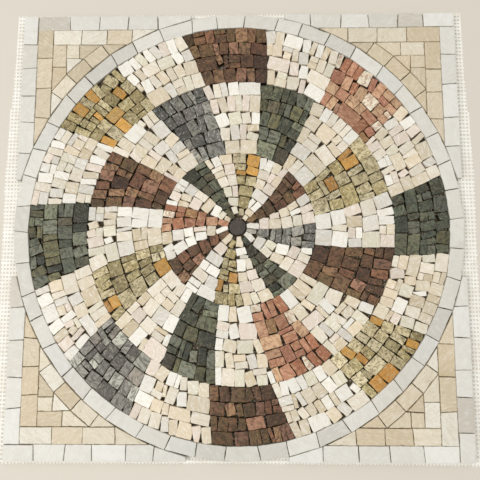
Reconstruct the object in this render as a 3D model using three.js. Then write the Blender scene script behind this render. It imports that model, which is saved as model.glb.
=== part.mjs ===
/**
 * A hand-laid marble mosaic panel: a round wheel of checkered colour in a
 * square of pale stone, on a glass-fibre mesh, ready to be set in a wall or floor.
 *
 * Millimetres, +Z up. The panel lies on its back, face up, with its origin at
 * the middle of its underside. Angles are in degrees, anticlockwise from +X.
 */
import * as THREE from "three";

const { lerp, degToRad, seededRandom } = THREE.MathUtils;

// ---------------------------------------------------------------- sizes

const SIDE = 500; // the square of stone, edge to edge
const HALF = SIDE / 2;

// The mesh runs on past the stone, farther at the sides than at the ends, and
// narrows above its shoulders.
const SHEET_HALF_X = HALF + 18;
const SHEET_TOP_HALF_X = HALF + 11;
const SHEET_HALF_Y = HALF + 6;
const SHEET_SHOULDER_Y = 60;
const SHEET_THICKNESS = 0.6;
const SHEET_TRIM = 1.4; // how far the cut edge of the mesh wanders in
const TRIM_PLACES = [0.2, 0.45, 0.75]; // where it does so, along each side

const FOOT = SHEET_THICKNESS + 0.3; // underside of the stones
const JOINT_FLOOR = 5.6; // bottom of the open joints
const JOINT_UNEVEN = 0.2; // its corners lie up to this much higher or lower
const FACE = 9; // tops of the stones
const FACE_UNEVEN = 0.35; // stones stand a little high or low
const FACE_TILT = 0.012; // and lean a little, as a slope
const JOINT_HALF = 0.65; // half a joint's width at the face
const GAP_HALF = 0.5; // half the gap between two fields

const HUB_RADIUS = 10.2;
const HUB_SIDES = 10;
const HUB_BEVEL = 1;

const SECTORS = 16;
const SECTOR_ANGLE = 360 / SECTORS;

// Within a field, how far the rows wander, as a share of a row's depth, and how
// far the joints between a row's stones shift, wander and skew, as a share of a
// stone's width.
const ROW_WANDER = 0.16;
const STONE_SHIFT = 0.1;
const STONE_WANDER = 0.14;
const STONE_SKEW = 0.05;

const RING_OUTER = HALF;
const RING_INNER = 235;
const RING_TILES = 46;
const RING_START = 1.5; // the first joint's angle
const RING_WANDER = 0.7; // how far the ring's joints stray, in degrees
const RING_SKEW = 0.3;
const RING_CLEAR = RING_OUTER + 2 * GAP_HALF; // what lies outside the ring starts here

const BORDER_INNER = 233; // the border course lies between this and the edge
const COURSE_INNER = 215; // the cream course lies between this and the border
const ARC_OUTER = 267; // outer radius of the three stones that hug the ring
const FILL_INNER = 199; // the corner's last stones lie between this and the course
const COURSE_PITCH = 34; // length of a border or course tile
const COURSE_WANDER = 3; // how far the joints between these tiles stray
const COURSE_SKEW = 0.8;
const BORDER_END = 55; // where the border tapers out beside the ring
const COURSE_END = 93; // where the cream course tapers out
const SHORTEST_EDGE = 1.5; // a stone has no side shorter than this
const ARC_CLEAR = RING_CLEAR + 0.6; // inner radius of the stones that hug the ring
const KNOT_WANDER = 0.6; // how far the meeting point of a corner's last stones strays
const UPPER_JOINT = 0.45; // where their joints leave the lines towards that point
const LOWER_JOINT = 0.25;

const SEED = 1966;

// Each band of the wheel lies between two circles, drawn a little off centre
// by hand. Its dividing lines lean anticlockwise from start to end, and each
// line drifts from its even place by the angle given.
const CIRCLES = {
  hub: { radius: 11, east: 0, north: 0 },
  inner: { radius: 86, east: 1, north: -1.5 },
  middle: { radius: 171, east: 3, north: -2.2 },
  outer: { radius: 234, east: 0, north: 0 },
};

const BANDS = [
  {
    name: "inner",
    from: CIRCLES.hub,
    to: CIRCLES.inner,
    lean: [-6, 4.4],
    drift: [-1, 0, -1, 0, 0.5, 0, -1, 0, 0, 0, -1, 1, 0.5, 1, 0, 2],
    rows: [1, 1, 1, 2, 2, 2],
    colouredFirst: 1,
    colours: ["brown", "ochre", "green", "salmon", "brown", "ochre", "green", "blue"],
  },
  {
    name: "middle",
    from: CIRCLES.inner,
    to: CIRCLES.middle,
    lean: [9.2, 14.6],
    drift: [-1, 0, -0.5, -1, -0.5, -1, -1, 0, 2.5, 1, 1.5, 0, -0.5, -0.5, 0.5, 0.5],
    rows: [2, 2, 2, 3, 3],
    colouredFirst: 0,
    colours: ["ochre", "green", "blue", "brown", "ochre", "green", "salmon", "brown"],
  },
  {
    name: "outer",
    from: CIRCLES.middle,
    to: CIRCLES.outer,
    lean: [12, 15.4],
    drift: [-1, -1, -0.5, -1, 0.5, -0.5, 0, 1, 2, 1, 0, 0.5, 0, 0, -0.5, 0],
    rows: [3, 3, 4, 4],
    colouredFirst: 1,
    colours: ["salmon", "brown", "ochre", "green", "grey", "brown", "ochre", "green"],
  },
];

const STONE_ROUGHNESS = 0.6;
const MATERIALS = {
  cream: { color: 0xece3cf, roughness: STONE_ROUGHNESS },
  ochre: { color: 0xb9a06b, roughness: STONE_ROUGHNESS },
  green: { color: 0x46534c, roughness: STONE_ROUGHNESS },
  blue: { color: 0x5b5f6b, roughness: STONE_ROUGHNESS },
  brown: { color: 0x64483a, roughness: STONE_ROUGHNESS },
  salmon: { color: 0xb87559, roughness: STONE_ROUGHNESS },
  grey: { color: 0x6d6563, roughness: STONE_ROUGHNESS },
  hub: { color: 0x4a3c35, roughness: STONE_ROUGHNESS },
  ring: { color: 0xe3e1d6, roughness: 0.5 },
  corner: { color: 0xe2d3b5, roughness: STONE_ROUGHNESS },
  mesh: { color: 0xeeece4, roughness: 0.9 },
};

// ---------------------------------------------------------------- helpers

seededRandom(SEED);

/** An even random amount between -amount and +amount. */
function spread(amount) {
  return (2 * seededRandom() - 1) * amount;
}

function polar(radius, degrees) {
  const angle = degToRad(degrees);
  return new THREE.Vector2(radius * Math.cos(angle), radius * Math.sin(angle));
}

function point(x, y) {
  return new THREE.Vector2(x, y);
}

function circleRadius(circle, degrees) {
  const towards = polar(1, degrees);
  return circle.radius + circle.east * towards.x + circle.north * towards.y;
}

function namedMesh(name, geometry, material) {
  const mesh = new THREE.Mesh(
    geometry,
    new THREE.MeshStandardMaterial({ ...MATERIALS[material], metalness: 0 }),
  );
  mesh.name = name;
  return mesh;
}

// ---------------------------------------------------------------- paving

const WELD = 0.7; // corners closer than this are one corner
const ON_EDGE = 1.4; // a corner this near a longer edge lies on it
const FOOT_TOLERANCE = 0.25; // how closely the underside follows the outline
const STRAIGHT = 0.05; // an outline that turns less than this is straight there

/** Gathers the stones' corners, each corner once, and gives each stone as indices. */
function weldCorners(stones) {
  const corners = [];
  const indexOf = (corner) => {
    const found = corners.findIndex((other) => other.distanceTo(corner) < WELD);
    return found < 0 ? corners.push(corner.clone()) - 1 : found;
  };
  const loops = stones.map((stone) => {
    const indices = stone.map(indexOf);
    return indices.filter((index, i) => index !== indices[(i + 1) % indices.length]);
  });
  return { corners, loops };
}

/** The corners on the way from a to b, where neighbours' joints meet this edge. */
function edgeChain(corners, a, b) {
  const along = corners[b].clone().sub(corners[a]);
  const length = along.length();
  along.divideScalar(length);
  const between = [];
  corners.forEach((corner, index) => {
    const offset = corner.clone().sub(corners[a]);
    const distance = offset.dot(along);
    const nearness = Math.min(ON_EDGE, distance, length - distance);
    if (index === a || index === b || nearness <= 0) return;
    if (Math.abs(offset.cross(along)) < nearness) between.push({ index, distance });
  });
  between.sort((p, q) => p.distance - q.distance);
  return [a, ...between.map((item) => item.index), b];
}

/** Where two edges cross once each has moved inwards by its own inset. */
function insetCorner(before, corner, after, insetBefore, insetAfter) {
  const inDirection = corner.clone().sub(before).normalize();
  const outDirection = after.clone().sub(corner).normalize();
  const inNormal = point(-inDirection.y, inDirection.x);
  const outNormal = point(-outDirection.y, outDirection.x);
  const turn = inDirection.cross(outDirection);
  if (Math.abs(turn) < STRAIGHT) {
    return corner.clone().addScaledVector(inNormal, Math.max(insetBefore, insetAfter));
  }
  const slide = (insetBefore * inNormal.dot(outNormal) - insetAfter) / turn;
  return corner
    .clone()
    .addScaledVector(inNormal, insetBefore)
    .addScaledVector(inDirection, slide);
}

/** Keeps the points that a closed outline needs to stay within the tolerance. */
function simplifyLoop(points) {
  const keep = new Set();
  const visit = (first, last) => {
    const start = points[first % points.length];
    const along = points[last % points.length].clone().sub(start).normalize();
    let farthest = FOOT_TOLERANCE;
    let worst = -1;
    for (let i = first + 1; i < last; i += 1) {
      const away = Math.abs(points[i % points.length].clone().sub(start).cross(along));
      if (away > farthest) {
        farthest = away;
        worst = i;
      }
    }
    if (worst < 0) return;
    keep.add(worst % points.length);
    visit(first, worst);
    visit(worst, last);
  };
  const distances = points.map((corner) => corner.distanceTo(points[0]));
  const opposite = distances.indexOf(Math.max(...distances));
  keep.add(0);
  keep.add(opposite);
  visit(0, opposite);
  visit(opposite, points.length);
  return [...keep].sort((a, b) => a - b);
}

/**
 * One solid of many stones, each a convex anticlockwise outline. The stones are
 * joined at their feet, parted by V-shaped joints, and each has a flat top of
 * its own height and tilt.
 */
function paving(stones) {
  const { corners, loops } = weldCorners(stones);
  const positions = [];
  const triangles = [];
  const addVertex = (p, z) => positions.push([p.x, p.y, z]) - 1;
  const joints = corners.map((corner) => addVertex(corner, JOINT_FLOOR + spread(JOINT_UNEVEN)));
  const outward = new Map(); // boundary sub-edges by their first corner

  const shapes = loops.map((loop) =>
    loop.map((corner, i) => edgeChain(corners, corner, loop[(i + 1) % loop.length])),
  );
  const directed = new Set();
  for (const chains of shapes) {
    for (const chain of chains) {
      for (let i = 1; i < chain.length; i += 1) directed.add(`${chain[i - 1]},${chain[i]}`);
    }
  }
  const isFree = (a, b) => !directed.has(`${b},${a}`);

  shapes.forEach((chains, stone) => {
    const loop = loops[stone];
    const free = chains.map((chain) =>
      chain.slice(1).every((corner, i) => isFree(chain[i], corner)),
    );
    const inset = free.map((isOutside) => (isOutside ? 0 : JOINT_HALF));
    const centre = loop
      .reduce((sum, index) => sum.add(corners[index]), point(0, 0))
      .divideScalar(loop.length);
    const height = FACE + spread(FACE_UNEVEN);
    const tilt = point(spread(FACE_TILT), spread(FACE_TILT));
    const tops = loop.map((index, i) => {
      const last = (i + loop.length - 1) % loop.length;
      const next = (i + 1) % loop.length;
      const top = insetCorner(
        corners[loop[last]],
        corners[index],
        corners[loop[next]],
        inset[last],
        inset[i],
      );
      return addVertex(top, height + top.clone().sub(centre).dot(tilt));
    });
    for (let i = 2; i < tops.length; i += 1) triangles.push([tops[0], tops[i - 1], tops[i]]);

    chains.forEach((chain, i) => {
      const top = tops[i];
      const nextTop = tops[(i + 1) % tops.length];
      if (free[i]) {
        outward.set(chain[0], { to: chain[chain.length - 1], stone, tops: [top, nextTop] });
        return;
      }
      const middle = Math.ceil((chain.length - 1) / 2);
      for (let j = 1; j < chain.length; j += 1) {
        const apex = j <= middle ? top : nextTop;
        triangles.push([joints[chain[j - 1]], joints[chain[j]], apex]);
        if (isFree(chain[j - 1], chain[j])) {
          outward.set(chain[j - 1], { to: chain[j], stone, tops: [] });
        }
      }
      triangles.push([top, joints[chain[middle]], nextTop]);
    });
  });

  const feet = footLoops(corners, outward, joints, positions, triangles, addVertex);
  capUnderside(feet, triangles);
  return facetedGeometry(positions, triangles);
}

/** Walks the free edges, builds the outer walls and returns each loop of feet. */
function footLoops(corners, outward, joints, positions, triangles, addVertex) {
  const waiting = new Set(outward.keys());
  const feet = [];
  while (waiting.size > 0) {
    const loop = [];
    let corner = waiting.values().next().value;
    while (waiting.delete(corner)) {
      loop.push(corner);
      corner = outward.get(corner).to;
    }
    // The rim is the wall's upper edge; starts[i] is where corner i lies on it.
    const rim = [];
    const starts = [];
    loop.forEach((start, i) => {
      const edge = outward.get(start);
      const previous = outward.get(loop[(i + loop.length - 1) % loop.length]);
      const sameStone =
        previous.stone === edge.stone && previous.tops.length > 0 && edge.tops.length > 0;
      starts.push(rim.length);
      if (!sameStone) rim.push(joints[start]);
      if (edge.tops.length > 0) {
        const next = outward.get(edge.to);
        const shared = next.stone === edge.stone && next.tops.length > 0;
        rim.push(...(shared ? edge.tops.slice(0, 1) : edge.tops));
      }
    });
    const kept = simplifyLoop(loop.map((index) => corners[index]));
    const footOf = kept.map((i) => addVertex(corners[loop[i]], FOOT));
    kept.forEach((first, k) => {
      const last = kept[(k + 1) % kept.length];
      const rimPart = [];
      let at = starts[first];
      rimPart.push(rim[at]);
      while (at !== starts[last] || rimPart.length === 1) {
        at = (at + 1) % rim.length;
        rimPart.push(rim[at]);
      }
      wall(footOf[k], footOf[(k + 1) % kept.length], rimPart, positions, triangles);
    });
    feet.push(footOf.map((index) => ({ index, at: point(...positions[index]) })));
  }
  return feet;
}

/** Fills the upright face between two feet and the rim above them. */
function wall(footStart, footEnd, rimPart, positions, triangles) {
  const start = point(...positions[footStart]);
  const along = point(...positions[footEnd]).sub(start).normalize();
  const outline = [footStart, footEnd, ...[...rimPart].reverse()];
  const flat = outline.map((index) =>
    point(point(...positions[index]).sub(start).dot(along), positions[index][2]),
  );
  for (const face of THREE.ShapeUtils.triangulateShape(flat, [])) {
    triangles.push(face.map((i) => outline[i]));
  }
}

/** Closes the underside, with the inner loops as holes. */
function capUnderside(feet, triangles) {
  const area = (loop) => THREE.ShapeUtils.area(loop.map((foot) => foot.at));
  const sorted = [...feet].sort((a, b) => area(b) - area(a));
  const flat = sorted.map((loop) => loop.map((foot) => foot.at));
  const all = sorted.flat();
  for (const [a, b, c] of THREE.ShapeUtils.triangulateShape(flat[0], flat.slice(1))) {
    const turn = THREE.ShapeUtils.area([all[a].at, all[b].at, all[c].at]);
    const face = turn > 0 ? [a, c, b] : [a, b, c];
    triangles.push(face.map((i) => all[i].index));
  }
}

function facetedGeometry(positions, triangles) {
  const used = new Map();
  const flat = [];
  const indices = triangles.flat().map((index) => {
    if (!used.has(index)) {
      used.set(index, used.size);
      flat.push(...positions[index]);
    }
    return used.get(index);
  });
  const geometry = new THREE.BufferGeometry();
  geometry.setAttribute("position", new THREE.Float32BufferAttribute(flat, 3));
  geometry.setIndex(indices);
  geometry.computeVertexNormals();
  return geometry;
}

// ---------------------------------------------------------------- the wheel

/** The stones of one field, row by row from the centre outwards. */
function fieldStones(band, sector) {
  const edgeAngle = (line, outwards) => {
    const turns = line * SECTOR_ANGLE + band.drift[line % SECTORS];
    return turns + lerp(band.lean[0], band.lean[1], outwards);
  };
  const place = (across, outwards) => {
    const start = edgeAngle(sector, outwards);
    const end = edgeAngle(sector + 1, outwards);
    const middle = (start + end) / 2;
    const from = circleRadius(band.from, middle) + GAP_HALF;
    const to = circleRadius(band.to, middle) - GAP_HALF;
    const gap = THREE.MathUtils.radToDeg(GAP_HALF / lerp(from, to, outwards));
    const angle = lerp(start + gap, end - gap, across);
    const innerRadius = circleRadius(band.from, angle) + GAP_HALF;
    const outerRadius = circleRadius(band.to, angle) - GAP_HALF;
    return polar(lerp(innerRadius, outerRadius, outwards), angle);
  };

  const rowCount = band.rows.length;
  const bounds = [];
  for (let i = 0; i <= rowCount; i += 1) {
    const wander = i === 0 || i === rowCount ? 0 : ROW_WANDER / rowCount;
    bounds.push([i / rowCount + spread(wander), i / rowCount + spread(wander)]);
  }
  const onBound = (row, across) => place(across, lerp(...bounds[row], across));

  return band.rows.flatMap((count, row) => {
    const shift = spread(STONE_SHIFT);
    const joints = [];
    for (let j = 0; j <= count; j += 1) {
      const isEnd = j === 0 || j === count;
      const even = (j + (isEnd ? 0 : shift + spread(STONE_WANDER))) / count;
      const skew = isEnd ? 0 : spread(STONE_SKEW) / count;
      joints.push([even - skew, even + skew]);
    }
    return joints.slice(1).map((end, j) => [
      onBound(row, joints[j][0]),
      onBound(row + 1, joints[j][1]),
      onBound(row + 1, end[1]),
      onBound(row, end[0]),
    ]);
  });
}

function buildFields() {
  return BANDS.flatMap((band) =>
    Array.from({ length: SECTORS }, (_, sector) => {
      const isColoured = sector % 2 === band.colouredFirst;
      const colour = isColoured ? band.colours[(sector - band.colouredFirst) / 2] : "cream";
      const number = String(sector + 1).padStart(2, "0");
      const name = `${band.name}_field_${number}_${colour}`;
      return namedMesh(name, paving(fieldStones(band, sector)), colour);
    }),
  );
}

function buildHub() {
  const profile = [
    point(0, FOOT),
    point(HUB_RADIUS, FOOT),
    point(HUB_RADIUS, FACE - HUB_BEVEL),
    point(HUB_RADIUS - HUB_BEVEL, FACE),
    point(0, FACE),
  ];
  const geometry = new THREE.LatheGeometry(profile, HUB_SIDES);
  geometry.rotateX(Math.PI / 2);
  return namedMesh("centre_stone", geometry, "hub");
}

function buildRing() {
  const joints = Array.from({ length: RING_TILES }, (_, i) => {
    const angle = (i * 360) / RING_TILES + RING_START + spread(RING_WANDER);
    const skew = spread(RING_SKEW);
    return [angle - skew, angle + skew];
  });
  const tiles = joints.map((joint, i) => {
    const next = joints[(i + 1) % RING_TILES];
    return [
      polar(RING_INNER, joint[0]),
      polar(RING_OUTER, joint[1]),
      polar(RING_OUTER, next[1]),
      polar(RING_INNER, next[0]),
    ];
  });
  return namedMesh("white_ring", paving(tiles), "ring");
}

// ---------------------------------------------------------------- the square

// Each quarter of the square is drawn at the top right and mirrored into place.
// A turned quarter first swaps X and Y, so that its column takes the corner stone.
const QUARTERS = [
  { name: "top_right", mirrorX: 1, mirrorY: 1, turned: false },
  { name: "top_left", mirrorX: -1, mirrorY: 1, turned: true },
  { name: "bottom_left", mirrorX: -1, mirrorY: -1, turned: false },
  { name: "bottom_right", mirrorX: 1, mirrorY: -1, turned: true },
];

/** Cuts a convex outline, keeping what lies beyond the distance along the normal. */
function cutBeyond(outline, normal, distance) {
  const kept = [];
  outline.forEach((corner, i) => {
    const next = outline[(i + 1) % outline.length];
    const here = corner.dot(normal) - distance;
    const there = next.dot(normal) - distance;
    if (here >= 0) kept.push(corner);
    if (here >= 0 !== there >= 0) {
      kept.push(corner.clone().lerp(next, here / (here - there)));
    }
  });
  return kept;
}

/** Trims a stone that runs into the ring along a straight cut beside it. */
function clearOfRing(outline) {
  const middle = outline
    .reduce((sum, corner) => sum.add(corner), point(0, 0))
    .divideScalar(outline.length);
  const kept = cutBeyond(outline, middle.normalize(), RING_CLEAR);
  return kept.filter((c, i) => c.distanceTo(kept.at(i - 1)) > SHORTEST_EDGE);
}

/** A straight course of tiles along X, from near the corner to where it tapers out. */
function course(start, end, low, high) {
  const count = Math.round((start - end) / COURSE_PITCH);
  const joints = Array.from({ length: count + 1 }, (_, i) => {
    const isEnd = i === 0 || i === count;
    const even = lerp(start, end, i / count) + (isEnd ? 0 : spread(COURSE_WANDER));
    const skew = isEnd ? 0 : spread(COURSE_SKEW);
    return [even - skew, even + skew];
  });
  return joints.slice(1).map((joint, i) =>
    clearOfRing([
      point(joint[0], low),
      point(joints[i][0], low),
      point(joints[i][1], high),
      point(joint[1], high),
    ]),
  );
}

function transpose(outline) {
  return outline.map((corner) => point(corner.y, corner.x)).reverse();
}

/** Sets stones drawn for the top right quarter into their own quarter. */
function setInQuarter(stones, quarter) {
  return stones.map((stone) => {
    const turned = quarter.turned ? transpose(stone) : stone;
    const moved = turned.map((c) => point(c.x * quarter.mirrorX, c.y * quarter.mirrorY));
    return quarter.mirrorX * quarter.mirrorY < 0 ? moved.reverse() : moved;
  });
}

/** A row along the top and a column down the side, with the corner in the row. */
function angleOfCourses(inside, outside, end) {
  const row = course(outside, end, inside, outside);
  const column = course(inside, end, inside, outside).map(transpose);
  return [...row, ...column];
}

/** Three stones that follow the ring, and the small ones between them and the courses. */
function cornerFill() {
  const inside = COURSE_INNER;
  const lastAngle = THREE.MathUtils.radToDeg(Math.asin(inside / ARC_OUTER));
  const firstAngle = 90 - lastAngle;
  const arc = [0, 1 / 3, 2 / 3, 1].map((part) => {
    const angle = lerp(firstAngle, lastAngle, part);
    return { near: polar(ARC_CLEAR, angle), far: polar(ARC_OUTER, angle) };
  });
  const arcStones = arc
    .slice(1)
    .map((end, i) => [arc[i].near, arc[i].far, end.far, end.near]);

  const reach = Math.sqrt(ARC_CLEAR ** 2 - inside ** 2);
  const upperTip = [arc[3].near, arc[3].far, point(reach, inside)];
  const lowerTip = [arc[0].far, arc[0].near, point(inside, reach)];

  const knot = point(FILL_INNER + spread(KNOT_WANDER), FILL_INNER + spread(KNOT_WANDER));
  const upper = arc[2].far.clone().lerp(knot, UPPER_JOINT);
  const lower = arc[1].far.clone().lerp(knot, LOWER_JOINT);
  const fill = [
    [arc[1].far, knot, arc[2].far],
    [arc[2].far, upper, point(upper.x, inside), arc[3].far],
    [upper, point(inside, knot.y), point(inside, inside), point(upper.x, inside)],
    [lower, point(inside, lower.y), point(inside, knot.y), knot],
    [arc[0].far, point(inside, lower.y), lower, arc[1].far],
  ];
  return [...arcStones, upperTip, lowerTip, ...fill];
}

function buildQuarters() {
  return QUARTERS.flatMap((quarter) => {
    const border = angleOfCourses(BORDER_INNER + GAP_HALF, HALF, BORDER_END);
    const courses = angleOfCourses(COURSE_INNER, BORDER_INNER - GAP_HALF, COURSE_END);
    const corner = [...courses, ...cornerFill()];
    return [
      namedMesh(`border_${quarter.name}`, paving(setInQuarter(border, quarter)), "ring"),
      namedMesh(`corner_${quarter.name}`, paving(setInQuarter(corner, quarter)), "corner"),
    ];
  });
}

// ---------------------------------------------------------------- the backing

/** A sheet cut by hand: its sides wander inwards between the corners. */
function buildBackingMesh() {
  const cornersOfSheet = [
    point(-SHEET_HALF_X, -SHEET_HALF_Y),
    point(SHEET_HALF_X, -SHEET_HALF_Y),
    point(SHEET_HALF_X, SHEET_SHOULDER_Y),
    point(SHEET_TOP_HALF_X, SHEET_HALF_Y),
    point(-SHEET_TOP_HALF_X, SHEET_HALF_Y),
    point(-SHEET_HALF_X, SHEET_SHOULDER_Y),
  ];
  const outline = cornersOfSheet.flatMap((start, i) => {
    const end = cornersOfSheet[(i + 1) % cornersOfSheet.length];
    const inwards = point(start.y - end.y, end.x - start.x).normalize();
    const trimmed = TRIM_PLACES.map((part) =>
      start
        .clone()
        .lerp(end, part)
        .addScaledVector(inwards, SHEET_TRIM * seededRandom()),
    );
    return [start, ...trimmed];
  });
  const geometry = new THREE.ExtrudeGeometry(new THREE.Shape(outline), {
    depth: SHEET_THICKNESS,
    bevelEnabled: false,
  });
  return namedMesh("backing_mesh", geometry, "mesh");
}

// ---------------------------------------------------------------- the panel

const panel = new THREE.Group();
panel.add(buildHub());
panel.add(...buildFields());
panel.add(buildRing());
panel.add(...buildQuarters());
panel.add(buildBackingMesh());

export default panel;
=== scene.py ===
"""Looks of a hand-laid marble mosaic panel: every stone cut, chipped and coloured on its own.

The CAD model gives the fields, the ring, the border and the corners as solids with
flat-topped stones. Each top is read back from its node, the large ones are cut into
smaller stones, and each outline becomes one hand-cut stone on a glass-fibre mesh.
"""
import math

import bmesh
import bpy
import numpy as np
from mathutils import Matrix, Vector
from mathutils.geometry import delaunay_2d_cdt


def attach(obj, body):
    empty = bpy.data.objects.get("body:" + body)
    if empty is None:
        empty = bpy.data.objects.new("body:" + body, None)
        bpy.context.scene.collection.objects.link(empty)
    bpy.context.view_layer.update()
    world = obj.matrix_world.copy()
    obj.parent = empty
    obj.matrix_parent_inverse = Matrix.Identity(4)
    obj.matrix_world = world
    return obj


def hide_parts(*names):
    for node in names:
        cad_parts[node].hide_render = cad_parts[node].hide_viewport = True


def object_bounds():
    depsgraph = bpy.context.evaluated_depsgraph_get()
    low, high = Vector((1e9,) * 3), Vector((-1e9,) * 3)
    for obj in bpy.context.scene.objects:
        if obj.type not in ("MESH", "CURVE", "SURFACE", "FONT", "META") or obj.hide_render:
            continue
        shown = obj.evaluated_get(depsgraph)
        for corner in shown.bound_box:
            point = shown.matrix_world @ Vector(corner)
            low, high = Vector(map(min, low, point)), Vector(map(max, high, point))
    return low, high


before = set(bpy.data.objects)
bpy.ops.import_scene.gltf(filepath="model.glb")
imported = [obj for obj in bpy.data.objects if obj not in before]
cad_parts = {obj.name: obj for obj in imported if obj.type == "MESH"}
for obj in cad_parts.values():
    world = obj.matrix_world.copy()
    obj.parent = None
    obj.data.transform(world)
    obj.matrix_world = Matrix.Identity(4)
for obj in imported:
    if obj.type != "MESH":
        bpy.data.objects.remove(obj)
cad_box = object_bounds()

MM = 0.001
SEED = 2207

# ---------------------------------------------------------------- the stones' measures

WELD = 0.01 * MM  # mesh corners closer than this are one corner
TOP_FLATNESS = 0.95  # a top's normal is at least this upright
TOP_RELIEF = 1.6 * MM  # no top lies farther than this below the highest one
START_SIDE = (0.83, 0.56)  # an outline starts at its corner farthest in this direction
FOOT_LEVEL = 0.62 * MM  # stones stand on the mesh
HEADROOM = 0.03 * MM  # stones stay this far below the CAD model's top
CEILING = cad_box[1].z - HEADROOM

# Where a stone is larger than its target, it is likely to be cut in two.
TARGET_AREA = {"inner": 120 * MM * MM, "middle": 190 * MM * MM, "outer": 175 * MM * MM}
TARGET_SPREAD = 0.38
SPLIT_RANGE = 0.5  # a stone larger than its target by this part is always cut
SPLIT_BIAS = (0.8, 1.25)  # times as deep as wide: beyond it a stone is cut across
SPLIT_GAP = (1.1 * MM, 1.4 * MM)
SPLIT_LEAN = math.radians(5)
SPLIT_PLACE = (0.34, 0.66)

# How far a stone spreads into its joints: the pale fields have the narrowest ones.
GROWTH = {
    "dark": (0.12 * MM, 0.5 * MM),
    "tile": (0.06 * MM, 0.38 * MM),
    "pale": (0.28 * MM, 0.56 * MM),
}
DARK_FIELDS = ("brown", "green", "blue", "grey", "salmon", "ochre")
SQUARE_LEAN = math.radians(2.6)
SQUARE_TRIM = (0.2, 0.8)  # how much of a slanting end is cut off square
OVERSHOOT = 0.4 * MM  # a corner may reach this far past its growth, some over the next stone
LEAST_LEFT = 0.7  # a cut that leaves less than this part of the stone isn't made
SHORTEST_SIDE = 0.7 * MM
LONGEST_MITRE = 1.8
SHARPEST_MITRE = 0.1

SPACING = 2.1 * MM  # between points along a stone's outline
TOP_SPACING = 2.6 * MM  # between the points that fill a top
TOP_WANDER = 0.3  # how far those points wander, and how near the edge they come, in spacings
TOP_MARGIN = 0.55
MERGE_DISTANCE = 1e-7
BLUNTNESS = (0.1 * MM, 0.38 * MM)
BLUNT_SHARE = 0.2  # of a side, at most
BLUNT_DEPTH = 0.3  # of the bluntness, off the corner itself
BOW = (-0.16 * MM, 0.14 * MM)
NICKS = [(3, 0.05 * MM), (5, 0.06 * MM), (9, 0.05 * MM), (14, 0.04 * MM)]  # turns and sizes
CHIP_COUNT = (1, 4)  # from the first to below the second
CHIP_WIDTH = (0.8, 2.2)  # in millimetres, as the next one
CHIP_DEPTH = (0.1, 0.6)

# Each top leans, lies and swells in its own way.
LEAN = 0.016
LIFT = (-0.05, 0.16)  # mean and spread in millimetres
WAVE_LENGTH = 9 * MM
WAVE_RANGE = (0.55, 1.25)
SWELL = (0.02, 0.07)  # in millimetres, as the next one
CROWN = (-0.02, 0.1)
GRAIN = 0.008 * MM

# Rings of points from the foot to the top: how far in from the outline, at what part
# of the height or how far below the top, how strongly the cleft side wanders, and
# how strongly a chip cuts in and down. The pale stones and the tiles have adhesive
# squeezed up round them, so their joints are shallow.
FOOT_RINGS = {
    "dark": [
        {"inset": 0.55 * MM, "part": 0.0, "rough": 0.18 * MM},
        {"inset": 0.25 * MM, "part": 0.4, "rough": 0.22 * MM},
    ],
    "pale": [
        {"inset": 0.3 * MM, "part": 0.0, "rough": 0.18 * MM},
        {"inset": -0.36 * MM, "part": 0.74, "rough": 0.14 * MM},
    ],
}
TOP_RINGS = [
    {"inset": 0.02 * MM, "below": 1.2 * MM, "rough": 0.12 * MM, "chip_in": 0.1, "chip_down": 0.5},
    {"inset": 0.02 * MM, "below": 0.24 * MM, "rough": 0.03 * MM, "chip_in": 0.5, "chip_down": 1.0},
    {"inset": 0.12 * MM, "below": 0.05 * MM, "rough": 0.03 * MM, "chip_in": 0.9, "chip_down": 0.55},
    {"inset": 0.42 * MM, "below": 0.0, "rough": 0.04 * MM, "chip_in": 1.15, "chip_down": 0.05},
]


# ---------------------------------------------------------------- outlines

def stone_tops(node):
    """The outlines of a CAD node's flat stone tops, anticlockwise, as arrays of points."""
    shape = bmesh.new()
    shape.from_mesh(node.data)
    bmesh.ops.remove_doubles(shape, verts=shape.verts, dist=WELD)
    top_level = max(v.co.z for v in shape.verts) - TOP_RELIEF
    tops = {
        face
        for face in shape.faces
        if face.normal.z > TOP_FLATNESS and min(v.co.z for v in face.verts) > top_level
    }
    following = {}
    for face in tops:
        for loop in face.loops:
            if not any(other in tops for other in loop.edge.link_faces if other != face):
                following[loop.vert] = loop.link_loop_next.vert
    outlines = []
    while following:
        first = next(iter(following))
        outline = []
        corner = first
        while corner in following:
            outline.append(tuple(corner.co))
            corner = following.pop(corner)
        outlines.append(start_anew(np.array(outline)))
    shape.free()
    return outlines


def start_anew(outline):
    """The same outline, starting at the corner that lies farthest up and right."""
    first = int(np.argmax(outline[:, 0] * START_SIDE[0] + outline[:, 1] * START_SIDE[1]))
    return np.roll(outline, -first, axis=0)


def plane_of(outline):
    """The slopes and the height at the origin of an outline's plane."""
    basis = np.column_stack([outline[:, :2], np.ones(len(outline))])
    return np.linalg.lstsq(basis, outline[:, 2], rcond=None)[0]


def area_of(outline):
    x, y = outline[:, 0], outline[:, 1]
    return 0.5 * float(np.sum(x * np.roll(y, -1) - y * np.roll(x, -1)))


def direction(angle):
    return np.array([math.cos(angle), math.sin(angle)])


def cut(outline, normal, distance):
    """The part of a convex outline beyond the distance along the normal."""
    kept = []
    sides = outline @ normal - distance
    for i, here in enumerate(sides):
        there = sides[(i + 1) % len(sides)]
        corner, after = outline[i], outline[(i + 1) % len(sides)]
        if here >= 0:
            kept.append(corner)
        if (here >= 0) != (there >= 0):
            kept.append(corner + (after - corner) * here / (here - there))
    return np.array(kept)


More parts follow.
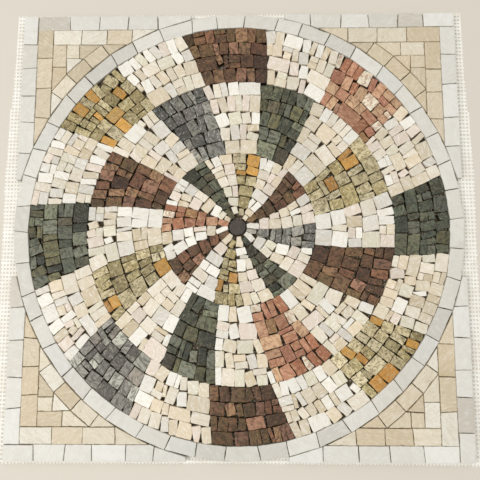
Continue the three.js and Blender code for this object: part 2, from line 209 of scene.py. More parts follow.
def split(outline, target, rng):
    """Cuts an outline in two, again and again, while it is large beside its target."""
    ratio = area_of(outline) / (target * math.exp(rng.normal(0, TARGET_SPREAD)))
    if rng.random() > (ratio - 1.0) / SPLIT_RANGE:
        return [outline]
    outward = math.atan2(*outline.mean(axis=0)[::-1])
    along, across = (np.ptp(outline @ direction(outward + turn)) for turn in (0, math.pi / 2))
    bias = rng.uniform(*SPLIT_BIAS)
    turn = 0 if along > across * bias else math.pi / 2
    normal = direction(outward + turn + rng.uniform(-SPLIT_LEAN, SPLIT_LEAN))
    depths = outline @ normal
    place = depths.min() + np.ptp(depths) * rng.uniform(*SPLIT_PLACE)
    gap = rng.uniform(*SPLIT_GAP) / 2
    halves = [cut(outline, normal, place + gap), cut(outline, -normal, gap - place)]
    return [piece for half in halves if len(half) > 2 for piece in split(half, target, rng)]


def grown(outline, distance):
    """A convex outline with its sides moved outwards."""
    sides = np.roll(outline, -1, axis=0) - outline
    sides /= np.linalg.norm(sides, axis=1)[:, None]
    outward = np.column_stack([sides[:, 1], -sides[:, 0]])
    before = np.roll(outward, 1, axis=0)
    mitre = outward + before
    length = 2 / np.maximum(np.sum(mitre * mitre, axis=1), SHARPEST_MITRE)
    return outline + mitre * (np.minimum(length, LONGEST_MITRE) * distance)[:, None]


def squared(outline, growth, rng):
    """A hand-cut stone on a cell: nearly a rectangle, which may overlap the next one a little."""
    sides = np.roll(outline, -1, axis=0) - outline
    longest = sides[np.argmax(np.linalg.norm(sides, axis=1))]
    angle = math.atan2(longest[1], longest[0]) + rng.normal(0, SQUARE_LEAN)
    stone = grown(outline, growth + OVERSHOOT)
    for quarter in range(4):
        normal = direction(angle + quarter * math.pi / 2)
        facing = int(np.argmax(sides @ np.array([-normal[1], normal[0]])))
        ends = (outline[facing] @ normal, outline[(facing + 1) % len(outline)] @ normal)
        limit = max(ends) + growth - abs(ends[0] - ends[1]) * rng.uniform(*SQUARE_TRIM)
        trimmed = cut(stone, -normal, -limit)
        if len(trimmed) > 3 and area_of(trimmed) > LEAST_LEFT * area_of(stone):
            stone = trimmed
    return without_short_sides(stone)


def without_short_sides(outline):
    """The outline without corners that lie close behind the one before."""
    gaps = np.linalg.norm(outline - np.roll(outline, 1, axis=0), axis=1)
    return outline[gaps > SHORTEST_SIDE]


class HandCutEdge:
    """An outline's blunt corners, bowed sides and small nicks, the same at every inset."""

    def __init__(self, outline, rng):
        self.outline = outline
        lengths = np.linalg.norm(np.roll(outline, -1, axis=0) - outline, axis=1)
        self.blunt = np.minimum(rng.uniform(*BLUNTNESS, len(outline)), lengths * BLUNT_SHARE)
        self.bow = rng.uniform(*BOW, len(outline))
        self.steps = [max(2, round(length / SPACING)) for length in lengths]
        self.phases = rng.uniform(0, 2 * math.pi, len(NICKS))

    def points(self, inset):
        outline = grown(self.outline, -inset)
        points, normals = [], []
        for i, corner in enumerate(outline):
            side = outline[(i + 1) % len(outline)] - corner
            arriving = corner - outline[i - 1]
            bisector = side / np.linalg.norm(side) - arriving / np.linalg.norm(arriving)
            points.append(corner + bisector * self.blunt[i] * BLUNT_DEPTH)
            normals.append(bisector / np.linalg.norm(bisector))
            inward = np.array([-side[1], side[0]]) / np.linalg.norm(side)
            start = self.blunt[i] / np.linalg.norm(side)
            for part in np.linspace(start, 1 - start, self.steps[i] + 1):
                swell = self.bow[i] * (1 - (2 * part - 1) ** 2)
                points.append(corner + side * part - inward * swell)
                normals.append(inward)
        around = np.arange(len(points)) / len(points) * 2 * math.pi
        nicks = sum(
            size * np.sin(turns * around + phase)
            for (turns, size), phase in zip(NICKS, self.phases)
        )
        return np.array(points) + np.array(normals) * nicks[:, None]


def chips_along(rim, rng):
    """How deep the top edge is chipped at each point of the rim."""
    gaps = np.linalg.norm(np.roll(rim, -1, axis=0) - rim, axis=1)
    place = np.concatenate([[0], np.cumsum(gaps)[:-1]])
    depth = np.zeros(len(rim))
    for _ in range(rng.integers(*CHIP_COUNT)):
        away = np.abs(place - rng.uniform(0, gaps.sum()))
        away = np.minimum(away, gaps.sum() - away)
        width = rng.uniform(*CHIP_WIDTH) * MM
        deepest = rng.uniform(*CHIP_DEPTH) * MM
        depth = np.maximum(depth, deepest * np.exp(-((away / width) ** 2)))
    return depth


# ---------------------------------------------------------------- one stone

PATTERN_REACH = 3  # metres that a stone's pattern may be moved, so that no two are alike
SEED_SHIFT = 1000  # keeps the seeds positive


def inside(points, outline, margin):
    """Which points lie inside an outline, at least the margin away from its points."""
    ahead = np.roll(outline, -1, axis=0)
    crossings = np.zeros(len(points), dtype=int)
    for (ax, ay), (bx, by) in zip(outline, ahead):
        spans = (ay > points[:, 1]) != (by > points[:, 1])
        if ay != by:
            where = ax + (points[:, 1] - ay) / (by - ay) * (bx - ax)
            crossings += spans & (points[:, 0] < where)
    away = np.linalg.norm(points[:, None] - outline[None], axis=2).min(axis=1)
    return (crossings % 2 == 1) & (away > margin)


def fill(edge, rng):
    """Points inside a top's edge, and triangles over the edge's and the inner points."""
    low, high = edge.min(axis=0), edge.max(axis=0)
    xs, ys = (np.arange(low[k], high[k] + TOP_SPACING, TOP_SPACING) for k in (0, 1))
    grid = np.stack(np.meshgrid(xs, ys), axis=-1).reshape(-1, 2)
    grid = grid + rng.uniform(-TOP_WANDER, TOP_WANDER, grid.shape) * TOP_SPACING
    inner = grid[inside(grid, edge, TOP_MARGIN * TOP_SPACING)]
    count = len(edge)
    scaled = [Vector(point) for point in (np.concatenate([edge, inner]) / MM).tolist()]
    sides = [(i, (i + 1) % count) for i in range(count)]
    result = delaunay_2d_cdt(scaled, sides, [list(range(count))], 1, MERGE_DISTANCE)
    if not all(result[3]):  # the edge crosses itself at a chip: a plain fan covers it
        fan = [[i, (i + 1) % count, count] for i in range(count)]
        return edge.mean(axis=0)[None], np.array(fan)
    origins = [source[0] for source in result[3]]
    triangles = [[origins[corner] for corner in face] for face in result[2]]
    return inner, np.array(triangles)


def build_stone(outline, plane, foot_rings, rng):
    """The points and faces of one closed stone on the given outline."""
    edge = HandCutEdge(outline, rng)
    rim = edge.points(0.0)
    chips = chips_along(rim, rng)
    count = len(rim)
    centre = rim.mean(axis=0)
    inward = centre - rim
    inward /= np.linalg.norm(inward, axis=1)[:, None]
    size = math.sqrt(area_of(outline))

    # The top follows the CAD stone's plane, with a lean and height of its own.
    middle = plane[:2] @ centre + plane[2]
    lean = rng.normal(0, LEAN, 2)
    lift = rng.normal(*LIFT) * MM
    phases = rng.uniform(0, 2 * math.pi, 4)
    waves = rng.uniform(*WAVE_RANGE, 2) * 2 * math.pi / WAVE_LENGTH
    swell = rng.uniform(*SWELL) * MM
    crown = rng.uniform(*CROWN) * MM

    def top_height(flat):
        offset = flat - centre
        base = middle + lift + offset @ (plane[:2] + lean)
        x, y = offset.T
        ripple = np.sin(x * waves[0] + phases[0]) * np.cos(y * waves[1] + phases[1])
        bulge = crown * (1 - (np.linalg.norm(offset, axis=1) / size) ** 2)
        return np.minimum(base + swell * ripple + bulge, CEILING)

    rings = []
    for ring in foot_rings:
        wander = np.abs(rng.normal(0, ring["rough"], count))
        flat = edge.points(ring["inset"]) + inward * wander[:, None]
        level = FOOT_LEVEL + (top_height(rim) - FOOT_LEVEL) * ring["part"]
        rings.append(np.column_stack([flat, level]))
    for ring in TOP_RINGS:
        wander = np.abs(rng.normal(0, ring["rough"], count)) + chips * ring["chip_in"]
        flat = edge.points(ring["inset"]) + inward * wander[:, None]
        grain = rng.normal(0, GRAIN, count)
        level = top_height(flat) - ring["below"] - chips * ring["chip_down"] + grain
        rings.append(np.column_stack([flat, np.minimum(level, CEILING)]))

    inner, triangles = fill(rings[-1][:, :2], rng)
    top = np.column_stack([inner, top_height(inner)])
    foot_centre = np.array([[*centre, FOOT_LEVEL]])
    points = np.concatenate([*rings, top, foot_centre])
    here = np.arange(count)
    after = (here + 1) % count
    quads = []
    for level in range(len(rings) - 1):
        low, high = level * count, (level + 1) * count
        quads.append(np.column_stack([low + here, low + after, high + after, high + here]))
    last = (len(rings) - 1) * count
    foot = np.column_stack([after, here, np.full(count, len(points) - 1)])
    return points, np.concatenate(quads), np.concatenate([triangles + last, foot])


class StonePile:
    """Gathers stones into one mesh, with each stone's random values beside its points."""

    def __init__(self):
        self.points, self.faces = [], []
        self.tones, self.kinds, self.shifts = [], [], []
        self.count = 0

    def add(self, points, quads, fans, rng):
        self.faces += (quads + self.count).tolist() + (fans + self.count).tolist()
        self.points.append(points)
        self.count += len(points)
        self.tones.append(np.full(len(points), rng.random()))
        self.kinds.append(np.full(len(points), rng.random()))
        self.shifts.append(np.tile(rng.uniform(-PATTERN_REACH, PATTERN_REACH, 3), (len(points), 1)))

    def object(self, name, material):
        mesh = bpy.data.meshes.new(name)
        mesh.from_pydata(np.concatenate(self.points).tolist(), [], self.faces)
        for label, kind, field, values in (
            ("tone", "FLOAT", "value", self.tones),
            ("kind", "FLOAT", "value", self.kinds),
            ("shift", "FLOAT_VECTOR", "vector", self.shifts),
        ):
            attribute = mesh.attributes.new(label, kind, "POINT")
            attribute.data.foreach_set(field, np.concatenate(values).ravel())
        mesh.polygons.foreach_set("use_smooth", np.ones(len(mesh.polygons), dtype=bool))
        mesh.materials.append(material)
        mesh.update()
        piece = bpy.data.objects.new(name, mesh)
        bpy.context.scene.collection.objects.link(piece)
        return piece


def stone_rng(outline):
    """A random generator that depends only on where the stone lies."""
    x, y = np.round(outline.mean(axis=0) / MM).astype(int) + SEED_SHIFT
    return np.random.default_rng([SEED, int(x), int(y)])


def lay_stones(name, node, material):
    """One piece with all the stones of a CAD node."""
    band, shade = name.split("_")[0], name.split("_")[-1]
    family = "dark" if shade in DARK_FIELDS else "pale"
    growth = GROWTH[family if band in TARGET_AREA else "tile"]
    pile = StonePile()
    for top in stone_tops(node):
        plane, outline = plane_of(top), top[:, :2]
        rng = stone_rng(outline)
        if band in TARGET_AREA:
            parts = split(outline, TARGET_AREA[band], rng)
            stones = [squared(part, rng.uniform(*growth), rng) for part in parts]
        else:
            stones = [grown(outline, rng.uniform(*growth))]
        for stone in stones:
            points, quads, fans = build_stone(stone, plane, FOOT_RINGS[family], rng)
            pile.add(points, quads, fans, rng)
    return pile.object(f"{name}_stones", material)


# ---------------------------------------------------------------- materials

GRAIN_SCALE = 1400
PIT_SCALE = 420
SPECK_AREAS = 240
LAYER_TURNS = 400.0  # radians over the range of kinds, so that each stone's layers turn freely
PLAIN_MOTTLING = 0.45  # what is left of the patches and specks on the plain stones
# The cleft sides darken towards the foot: partly dust and adhesive, partly painted shade deep in
# the joints.
DUST_AND_SHADE_FROM = 8.2 * MM
DUST_AND_SHADE_FULL = 6.4 * MM
DUST_AND_SHADE_STRENGTH = 0.85


def colour(hex_code):
    """A linear colour with alpha from its six-digit code."""
    values = [int(hex_code[i : i + 2], 16) / 255 for i in (0, 2, 4)]
    linear = [v / 12.92 if v <= 0.04045 else ((v + 0.055) / 1.055) ** 2.4 for v in values]
    return (*linear, 1.0)


class Shader:
    """A material's node tree, with short calls for the nodes that stone needs."""

    def __init__(self, name):
        self.material = bpy.data.materials.new(name)
        self.material.use_nodes = True
        self.nodes = self.material.node_tree.nodes
        self.links = self.material.node_tree.links
        self.nodes.clear()
        self.surface = self.nodes.new("ShaderNodeBsdfPrincipled")
        output = self.nodes.new("ShaderNodeOutputMaterial")
        self.links.new(self.surface.outputs[0], output.inputs[0])

    def plug(self, socket, value):
        if isinstance(value, bpy.types.NodeSocket):
            self.links.new(value, socket)
        else:
            socket.default_value = value

    def coordinates(self):
        return self.nodes.new("ShaderNodeTexCoord").outputs["Object"]

    def attribute(self, name, output="Fac"):
        node = self.nodes.new("ShaderNodeAttribute")
        node.attribute_name = name
        return node.outputs[output]

    def math(self, operation, a, b=0.0, clamp=False):
        node = self.nodes.new("ShaderNodeMath")
        node.operation = operation
        node.use_clamp = clamp
        self.plug(node.inputs[0], a)
        self.plug(node.inputs[1], b)
        return node.outputs[0]

    def vector_math(self, operation, a, b):
        node = self.nodes.new("ShaderNodeVectorMath")
        node.operation = operation
        self.plug(node.inputs[0], a)
        self.plug(node.inputs[1], b)
        return node.outputs[0]

    def parts(self, vector):
        node = self.nodes.new("ShaderNodeSeparateXYZ")
        self.plug(node.inputs[0], vector)
        return node.outputs

    def layers(self, vector, angle, closeness):
        """The vector turned about the vertical and squeezed, for a pattern in layers."""
        node = self.nodes.new("ShaderNodeVectorRotate")
        node.rotation_type = "Z_AXIS"
        self.plug(node.inputs["Vector"], vector)
        self.plug(node.inputs["Angle"], angle)
        return self.vector_math("MULTIPLY", node.outputs[0], (1.0, closeness, 1.0))

    def noise(self, vector, scale, detail=3.0, roughness=0.55, distortion=0.0):
        node = self.nodes.new("ShaderNodeTexNoise")
        self.plug(node.inputs["Vector"], vector)
        node.inputs["Scale"].default_value = scale
        node.inputs["Detail"].default_value = detail
        node.inputs["Roughness"].default_value = roughness
        node.inputs["Distortion"].default_value = distortion
        return node.outputs["Fac"]

    def cells(self, vector, scale):
        node = self.nodes.new("ShaderNodeTexVoronoi")
        self.plug(node.inputs["Vector"], vector)
        node.inputs["Scale"].default_value = scale
        return node.outputs["Distance"]

    def ramp(self, factor, stops, interpolation="LINEAR"):
        node = self.nodes.new("ShaderNodeValToRGB")
        ramp = node.color_ramp
        ramp.interpolation = interpolation
        while len(ramp.elements) < len(stops):
            ramp.elements.new(1.0)
        for element, (position, value) in zip(ramp.elements, stops):
            element.position = position
            element.color = value
        self.plug(node.inputs[0], factor)
        return node.outputs["Color"]

    def span(self, value, low, high, to_low=0.0, to_high=1.0):
        """Maps one range to another and stops at its ends."""
        node = self.nodes.new("ShaderNodeMapRange")
        self.plug(node.inputs["Value"], value)
        node.inputs["From Min"].default_value = low
        node.inputs["From Max"].default_value = high
        node.inputs["To Min"].default_value = to_low
        node.inputs["To Max"].default_value = to_high
        return node.outputs["Result"]

    def mix(self, factor, a, b, blend="MIX"):
        node = self.nodes.new("ShaderNodeMix")
        node.data_type = "RGBA"
        node.blend_type = blend
        self.plug(node.inputs["Factor"], factor)
        self.plug(node.inputs[6], a)
        self.plug(node.inputs[7], b)
        return node.outputs[2]

    def bump(self, height, strength, distance, under=None):
        node = self.nodes.new("ShaderNodeBump")
        node.inputs["Strength"].default_value = strength
        node.inputs["Distance"].default_value = distance
        self.plug(node.inputs["Height"], height)
        if under is not None:
            self.links.new(under, node.inputs["Normal"])
        return node.outputs["Normal"]


def stone_material(name, palette):
    """Marble of several related colours, one for each stone, with layers, patches and specks, and
    sides darkened towards the foot by dust, adhesive and painted shade.
    """
    shader = Shader(name)
    kind, tone = shader.attribute("kind"), shader.attribute("tone")
    place = shader.vector_math("ADD", shader.coordinates(), shader.attribute("shift", "Vector"))
    layered = shader.layers(place, shader.math("MULTIPLY", kind, LAYER_TURNS), palette["layers"])
    stops = [(part, colour(code)) for part, code in palette["kinds"]]
    base = shader.ramp(kind, stops, "CONSTANT")

    plain_from = palette.get("plain_from", 1.0)
    mottled = shader.span(kind, plain_from, plain_from + 0.001, 1.0, PLAIN_MOTTLING)
    for patch in palette["patches"]:
        moved = shader.vector_math("ADD", layered, (patch["scale"], 0.0, 0.0))
        clouds = shader.noise(moved, patch["scale"], 6.0, 0.68, 0.3)
        part = shader.span(clouds, patch["from"], patch["to"], 0.0, patch["strength"])
        part = shader.math("MULTIPLY", part, mottled)
        base = shader.mix(part, base, colour(patch["colour"]))

    if palette["specks"]:
        dots = shader.cells(place, palette["specks"]["scale"])
        where = shader.noise(place, SPECK_AREAS, 2.0, 0.5)
        size = shader.span(where, 0.42, 0.7, 0.0, palette["specks"]["size"])
        inside_dot = shader.span(shader.math("SUBTRACT", size, dots), 0.0, 0.1)
        speck_part = shader.math("MULTIPLY", inside_dot, palette["specks"]["strength"])
        speck_part = shader.math("MULTIPLY", speck_part, mottled)
        base = shader.mix(speck_part, base, colour(palette["specks"]["colour"]))

    grain = shader.noise(place, GRAIN_SCALE, 3.0, 0.6)
    brightness = shader.math(
        "ADD",
        shader.span(tone, 0.0, 1.0, *palette["tones"]),
        shader.span(grain, 0.3, 0.7, -0.06, 0.06),
    )
    base = shader.mix(1.0, base, brightness, "MULTIPLY")

    # Dust and adhesive cover the cleft sides towards the foot, and painted shade darkens them deep
    # in the joints, near black on the dark stones.
    level = shader.parts(shader.coordinates())["Z"]
    dust_and_shade = shader.span(level, DUST_AND_SHADE_FROM, DUST_AND_SHADE_FULL, 0.0, DUST_AND_SHADE_STRENGTH)
    base = shader.mix(dust_and_shade, base, colour(palette["joint"]))
    shader.plug(shader.surface.inputs["Base Color"], base)

    rough = palette.get("roughness", 0.55)
    roughness = shader.span(grain, 0.3, 0.7, rough - 0.07, rough + 0.09)
    shader.plug(shader.surface.inputs["Roughness"], roughness)
    shader.surface.inputs["Specular IOR Level"].default_value = 0.35
    pits = shader.noise(layered, PIT_SCALE, 5.0, 0.65)
    normal = shader.bump(pits, palette.get("relief", 0.5), 0.2 * MM)
    normal = shader.bump(grain, 0.25, 0.04 * MM, normal)
    shader.links.new(normal, shader.surface.inputs["Normal"])
    return shader.material


# Each palette's colour for the sides' feet is partly dust and adhesive, partly painted shade in the
# joints: near black on the dark stones.
PALETTES = {
    "cream": {
        "kinds": [
            (0.0, "e4dac6"), (0.18, "dacdb3"), (0.36, "e4d3b6"), (0.44, "e1d2c2"),
            (0.54, "f2eee2"), (0.76, "dad5c9"), (0.88, "d0bfa0"), (0.93, "ded7c0"),
        ],
        "tones": (0.91, 1.09), "layers": 3.0, "joint": "b3a27f",
        "patches": [
            {"colour": "cdb993", "scale": 120, "from": 0.45, "to": 0.7, "strength": 0.4},
            {"colour": "fbf7ee", "scale": 160, "from": 0.5, "to": 0.64, "strength": 0.55},
            {"colour": "bfa67f", "scale": 260, "from": 0.57, "to": 0.64, "strength": 0.3},
        ],
        "specks": {"colour": "a98d66", "scale": 560, "size": 0.3, "strength": 0.25},
        "roughness": 0.52, "relief": 0.22,
    },
    "brown": {
        "kinds": [
            (0.0, "735339"), (0.2, "5d482d"), (0.36, "7f563f"), (0.52, "4e3829"),
            (0.66, "957354"), (0.78, "77603f"), (0.9, "98705a"),
        ],
        "tones": (0.56, 1.3), "layers": 1.8, "joint": "1a120b",
        "patches": [
            {"colour": "3b2919", "scale": 170, "from": 0.48, "to": 0.55, "strength": 0.75},
            {"colour": "8b5c44", "scale": 230, "from": 0.53, "to": 0.59, "strength": 0.55},
            {"colour": "6d6239", "scale": 260, "from": 0.55, "to": 0.62, "strength": 0.6},
            {"colour": "c19c76", "scale": 420, "from": 0.6, "to": 0.66, "strength": 0.6},
        ],
        "specks": {"colour": "2a1c12", "scale": 600, "size": 0.36, "strength": 0.6},
        "roughness": 0.5,
    },
    "green": {
        "kinds": [
            (0.0, "5f604a"), (0.18, "525848"), (0.34, "6d6744"), (0.48, "3f4236"),
            (0.6, "767867"), (0.74, "60543f"), (0.84, "85886e"), (0.93, "38392b"),
        ],
        "tones": (0.5, 1.26), "layers": 2.0, "joint": "16140c",
        "patches": [
            {"colour": "2b2c20", "scale": 150, "from": 0.48, "to": 0.55, "strength": 0.75},
            {"colour": "7d8060", "scale": 220, "from": 0.52, "to": 0.62, "strength": 0.6},
            {"colour": "675840", "scale": 250, "from": 0.53, "to": 0.6, "strength": 0.6},
            {"colour": "8b9486", "scale": 300, "from": 0.57, "to": 0.66, "strength": 0.5},
        ],
        "specks": {"colour": "1c1d14", "scale": 600, "size": 0.34, "strength": 0.5},
        "roughness": 0.48,
    },
    "blue": {
        "kinds": [
            (0.0, "7b756a"), (0.18, "625f56"), (0.34, "938e81"), (0.5, "6c6560"),
            (0.64, "b3ac9b"), (0.78, "504c45"), (0.88, "8b887c"),
        ],
        "tones": (0.7, 1.42), "layers": 2.2, "joint": "2a241b",
        "patches": [
            {"colour": "3d3d38", "scale": 150, "from": 0.48, "to": 0.55, "strength": 0.7},
            {"colour": "afb0aa", "scale": 230, "from": 0.54, "to": 0.6, "strength": 0.6},
            {"colour": "6d6453", "scale": 260, "from": 0.54, "to": 0.61, "strength": 0.5},
        ],
        "specks": {"colour": "2a2a28", "scale": 600, "size": 0.34, "strength": 0.5},
        "roughness": 0.48,
    },
    "grey": {
        "kinds": [
            (0.0, "7a766c"), (0.18, "89847a"), (0.34, "5f5a50"), (0.48, "bcbaa9"),
            (0.66, "9b978b"), (0.8, "6b635c"), (0.9, "93897b"),
        ],
        "tones": (0.72, 1.28), "layers": 2.0, "joint": "2a241b",
        "patches": [
            {"colour": "45403a", "scale": 150, "from": 0.48, "to": 0.55, "strength": 0.65},
            {"colour": "b4b0a1", "scale": 230, "from": 0.54, "to": 0.6, "strength": 0.55},
            {"colour": "776c62", "scale": 260, "from": 0.54, "to": 0.61, "strength": 0.5},
        ],
        "specks": {"colour": "2c2824", "scale": 600, "size": 0.34, "strength": 0.45},
        "roughness": 0.5,
    },
    "salmon": {
        "kinds": [
            (0.0, "b88568"), (0.22, "a46c50"), (0.42, "c69c7c"), (0.58, "b07760"),
            (0.72, "9c7a50"), (0.8, "cfab86"), (0.91, "e6dbc4"),
        ],
        "tones": (0.76, 1.18), "layers": 1.8, "joint": "4a3018",
        "patches": [
            {"colour": "8a583b", "scale": 160, "from": 0.48, "to": 0.56, "strength": 0.6},
            {"colour": "dab18c", "scale": 230, "from": 0.54, "to": 0.6, "strength": 0.55},
            {"colour": "a98757", "scale": 260, "from": 0.56, "to": 0.62, "strength": 0.45},
        ],
        "specks": {"colour": "74462b", "scale": 560, "size": 0.3, "strength": 0.4},
        "roughness": 0.52,
    },
    "ochre": {
        "kinds": [
            (0.0, "b3a476"), (0.22, "cabb92"), (0.44, "a29163"), (0.56, "d9cba6"),
            (0.68, "ae9d6c"), (0.76, "cf9a49"), (0.88, "b7823c"), (0.95, "c9a05c"),
        ],
        "plain_from": 0.76,
        "tones": (0.78, 1.24), "layers": 1.4, "joint": "2a2011",
        "patches": [
            {"colour": "7c6c45", "scale": 170, "from": 0.47, "to": 0.55, "strength": 0.6},
            {"colour": "dccfa9", "scale": 240, "from": 0.53, "to": 0.59, "strength": 0.6},
            {"colour": "5a4d30", "scale": 360, "from": 0.56, "to": 0.61, "strength": 0.8},
        ],
        "specks": {"colour": "4a4028", "scale": 520, "size": 0.5, "strength": 0.8},
        "roughness": 0.55, "relief": 0.8,
    },
    "ring": {
        "kinds": [
            (0.0, "dad5c9"), (0.3, "cfcabf"), (0.55, "e0dcd1"), (0.85, "d6d3ca"),
        ],
        "tones": (0.97, 1.05), "layers": 2.2, "joint": "bab3a2",
        "patches": [
            {"colour": "c6c1b5", "scale": 70, "from": 0.45, "to": 0.7, "strength": 0.4},
            {"colour": "ebe8df", "scale": 120, "from": 0.5, "to": 0.7, "strength": 0.45},
        ],
        "specks": None,
        "roughness": 0.45,
    },
    "border": {
        "kinds": [
            (0.0, "dedad0"), (0.44, "d6d1c4"), (0.7, "e9e6dd"), (0.92, "cbc4b5"),
        ],
        "tones": (0.975, 1.05), "layers": 2.2, "joint": "bab3a2",
        "patches": [
            {"colour": "cfcabd", "scale": 70, "from": 0.45, "to": 0.7, "strength": 0.4},
            {"colour": "efede6", "scale": 120, "from": 0.5, "to": 0.7, "strength": 0.45},
        ],
        "specks": None,
        "roughness": 0.45,
    },
    "corner": {
        "kinds": [
            (0.0, "d8cab0"), (0.26, "ccbea2"), (0.46, "e0d6c0"), (0.68, "d3c2a4"),
            (0.84, "ebe5d6"),
        ],
        "tones": (0.96, 1.08), "layers": 3.4, "joint": "b2a079",
        "patches": [
            {"colour": "c2ae8a", "scale": 90, "from": 0.45, "to": 0.7, "strength": 0.45},
            {"colour": "ece4d1", "scale": 130, "from": 0.5, "to": 0.66, "strength": 0.5},
            {"colour": "b39c74", "scale": 260, "from": 0.57, "to": 0.64, "strength": 0.35},
        ],
        "specks": {"colour": "8f7650", "scale": 480, "size": 0.36, "strength": 0.5},
        "relief": 0.9,
    },
    "hub": {
        "kinds": [(0.0, "4a423b"), (0.5, "4a423b")],
        "tones": (0.95, 1.0), "layers": 1.5, "joint": "2e2820",
        "patches": [
            {"colour": "39312c", "scale": 120, "from": 0.45, "to": 0.65, "strength": 0.6},
            {"colour": "63574c", "scale": 200, "from": 0.52, "to": 0.64, "strength": 0.5},
        ],
        "specks": None,
    },
}


GLUE_AND_SHADE_EDGE = 247 * MM  # half the side of the square that the stones cover, less a little
GLUE_AND_SHADE_FADE = 1 * MM


def mesh_material():
    """White glass-fibre strands, faintly ribbed and dusty, and under the stones brown with adhesive
    and painted shade.
    """
    shader = Shader("glass_fibre_strands")
    place = shader.coordinates()
    dust = shader.noise(place, 60, 3.0, 0.6)
    fibres = shader.noise(place, 2600, 2.0, 0.5)
    base = shader.mix(shader.span(dust, 0.35, 0.7), colour("fffdf6"), colour("f3eee0"))
    base = shader.mix(shader.span(fibres, 0.35, 0.65, 0.0, 0.25), base, colour("dcd5c4"))

    # Under the stones the strands lie in brown adhesive, darkened further as painted shade.
    away = shader.parts(shader.vector_math("ABSOLUTE", place, (0.0, 0.0, 0.0)))
    farthest = shader.math("MAXIMUM", away["X"], away["Y"])
    adhesive_and_shade = shader.span(farthest, GLUE_AND_SHADE_EDGE, GLUE_AND_SHADE_EDGE - GLUE_AND_SHADE_FADE)
    base = shader.mix(adhesive_and_shade, base, colour("7a6b50"))
    shader.plug(shader.surface.inputs["Base Color"], base)
    shader.surface.inputs["Roughness"].default_value = 0.7
    normal = shader.bump(fibres, 0.4, 0.05 * MM)
    shader.links.new(normal, shader.surface.inputs["Normal"])
    return shader.material


# ---------------------------------------------------------------- the backing mesh

STRANDS = {
    "warp": {"pitch": 3.7 * MM, "width": 1.9 * MM, "level": 0.03 * MM},
    "weft": {"pitch": 4.35 * MM, "width": 2.7 * MM, "level": 0.31 * MM},
}
STRAND_THICKNESS = 0.25 * MM
STRAND_STEPS = 24
STRAND_WAVES = [(0.12 * MM, (18, 34)), (0.25 * MM, (4, 9))]  # sizes, and radians in all
STRAND_SWELL = 0.12
SWELL_RADIANS = 60
STRAND_CROWN = 0.86  # the upper side's width beside the lower side's
STRAND_FRAY = 0.4 * MM


def strand(start, end, across, shape, rng):
    """One flat strand between two points, gently wavy, as points and faces."""
    parts = np.linspace(0, 1, STRAND_STEPS + 1)
    wave = sum(
        size * np.sin(parts * rng.uniform(*turns) + rng.uniform(0, 2 * math.pi))
        for size, turns in STRAND_WAVES
    )
    middle = start + (end - start) * parts[:, None] + across * wave[:, None]
    ripple = np.sin(parts * SWELL_RADIANS + rng.uniform(0, 2 * math.pi))
    widths = shape["width"] * (1 + STRAND_SWELL * ripple)
    corners = []
    for side, height in ((-1, 0), (1, 0), (1, STRAND_THICKNESS), (-1, STRAND_THICKNESS)):
        half = widths / 2 * (STRAND_CROWN if height else 1.0)
        flat = middle + across * half[:, None] * side
        corners.append(np.column_stack([flat, np.full(len(flat), shape["level"] + height)]))
    points = np.stack(corners, axis=1).reshape(-1, 3)
    faces = []
    for step in range(STRAND_STEPS):
        for side in range(4):
            a, b = 4 * step + side, 4 * step + (side + 1) % 4
            faces.append([a, b, b + 4, a + 4])
    last = 4 * STRAND_STEPS
    faces += [[3, 2, 1, 0], [last, last + 1, last + 2, last + 3]]
    return points, faces


def reach(outline, axis, value):
    """Where the line at a value of one axis enters and leaves an outline."""
    here, ahead = outline, np.roll(outline, -1, axis=0)
    crossing = (here[:, axis] > value) != (ahead[:, axis] > value)
    here, ahead = here[crossing], ahead[crossing]
    part = (value - here[:, axis]) / (ahead[:, axis] - here[:, axis])
    places = here[:, 1 - axis] + part * (ahead[:, 1 - axis] - here[:, 1 - axis])
    return places.min(), places.max()


def build_backing_mesh(material):
    """Two layers of strands, trimmed unevenly by hand just inside the CAD sheet."""
    sheet = stone_tops(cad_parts["backing_mesh"])[0][:, :2]
    low, high = sheet.min(axis=0), sheet.max(axis=0)
    rng = np.random.default_rng(SEED)
    points, faces, count = [], [], 0
    for name, shape in STRANDS.items():
        side = 0 if name == "warp" else 1
        across = np.array([-1.0, 0.0]) if name == "warp" else np.array([0.0, 1.0])
        number = int((high[side] - low[side]) / shape["pitch"])
        first = (low[side] + high[side] - (number - 1) * shape["pitch"]) / 2
        for i in range(number):
            place = first + i * shape["pitch"]
            start, end = np.full(2, place), np.full(2, place)
            start[1 - side], end[1 - side] = reach(sheet, side, place)
            start[1 - side] += abs(rng.normal(0, STRAND_FRAY))
            end[1 - side] -= abs(rng.normal(0, STRAND_FRAY))
            ribbon, quads = strand(start, end, across, shape, rng)
            points.append(ribbon)
            faces += [[index + count for index in quad] for quad in quads]
            count += len(ribbon)
    points = np.concatenate(points)
    for axis in (0, 1):
        points[:, axis] = np.clip(points[:, axis], low[axis], high[axis])
    mesh = bpy.data.meshes.new("mesh_strands")
    mesh.from_pydata(points.tolist(), [], faces)
    mesh.materials.append(material)
    mesh.update()
    piece = bpy.data.objects.new("mesh_strands", mesh)
    bpy.context.scene.collection.objects.link(piece)
    return piece


# ---------------------------------------------------------------- the panel

def place_piece(piece, node_name):
    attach(piece, "root")
    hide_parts(node_name)


def palette_name(node_name):
    """Fields end in their colour; the other nodes go by what they are."""
    first = node_name.split("_")[0]
    others = {"white": "ring", "border": "border", "corner": "corner", "centre": "hub"}
    return others.get(first) or node_name.split("_")[-1]


def build_panel():
    materials = {name: stone_material(f"{name}_stone", PALETTES[name]) for name in PALETTES}
    for node_name in sorted(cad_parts):
        if node_name == "backing_mesh":
            continue
        material = materials[palette_name(node_name)]
        piece = lay_stones(node_name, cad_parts[node_name], material)
        place_piece(piece, node_name)
    place_piece(build_backing_mesh(mesh_material()), "backing_mesh")


# ---------------------------------------------------------------- stage, light and camera

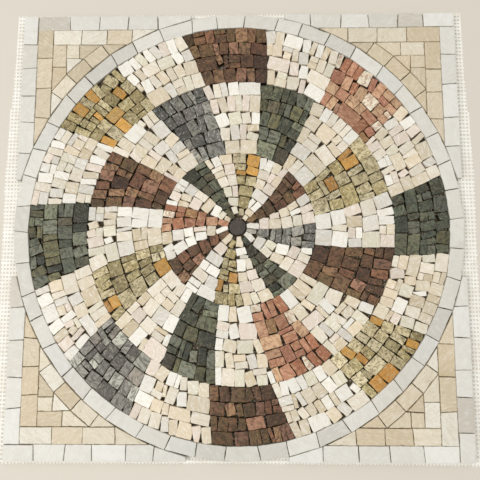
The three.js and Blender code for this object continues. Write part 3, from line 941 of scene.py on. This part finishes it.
MIDDLE = (0.0, 0.0, 0.0)
FLOOR_HALF = 4.0
FLOOR_GAP = 0.05 * MM
WHITE = (1.0, 1.0, 1.0)
LIGHTS = {
    "window": {"position": (-1.1, -0.45, 1.8), "size": 1.2, "power": 21.8},
    "room": {"position": (0.9, 0.9, 2.1), "size": 2.2, "power": 15.5},
}
SKY = 0.49
CAMERA_PLACE = (0.013, -0.079, 0.566)
CAMERA_TARGET = (0.0028, -0.0144, 0.009)
SENSOR = 36
LENS = 38


def look_at(item, position, target):
    """Aims a camera or light at a point, with the panel's upper edge up in its view."""
    backward = (Vector(position) - Vector(target)).normalized()
    right = Vector((0.0, 1.0, 0.0)).cross(backward).normalized()
    up = backward.cross(right)
    turned = Matrix((right, up, backward)).transposed().to_4x4()
    item.matrix_world = Matrix.Translation(position) @ turned


def build_floor():
    mesh = bpy.data.meshes.new("floor")
    around = ((-1, -1), (1, -1), (1, 1), (-1, 1))
    corners = [(x * FLOOR_HALF, y * FLOOR_HALF, 0) for x, y in around]
    mesh.from_pydata(corners, [], [(0, 1, 2, 3)])
    floor = bpy.data.objects.new("floor", mesh)
    floor.location.z = cad_box[0].z - FLOOR_GAP
    bpy.context.scene.collection.objects.link(floor)
    shader = Shader("pale_floor")
    shader.surface.inputs["Base Color"].default_value = colour("ded6c8")
    shader.surface.inputs["Roughness"].default_value = 0.8
    mesh.materials.append(shader.material)


def build_light():
    for name, lamp in LIGHTS.items():
        data = bpy.data.lights.new(name, "AREA")
        data.size = lamp["size"]
        data.energy = lamp["power"]
        data.color = WHITE
        light = bpy.data.objects.new(name, data)
        look_at(light, lamp["position"], MIDDLE)
        bpy.context.scene.collection.objects.link(light)
    world = bpy.data.worlds.new("studio")
    world.use_nodes = True
    background = world.node_tree.nodes["Background"]
    background.inputs["Color"].default_value = (*WHITE, 1.0)
    background.inputs["Strength"].default_value = SKY
    bpy.context.scene.world = world
    bpy.context.scene.view_settings.view_transform = "Standard"


def build_camera():
    """Nearly straight above, a little towards the panel's lower edge."""
    data = bpy.data.cameras.new("camera")
    data.sensor_width = SENSOR
    data.lens = LENS
    data.clip_start = 0.01
    camera = bpy.data.objects.new("camera", data)
    look_at(camera, CAMERA_PLACE, CAMERA_TARGET)
    bpy.context.scene.collection.objects.link(camera)
    bpy.context.scene.camera = camera


build_camera()
build_panel()
build_floor()
build_light()
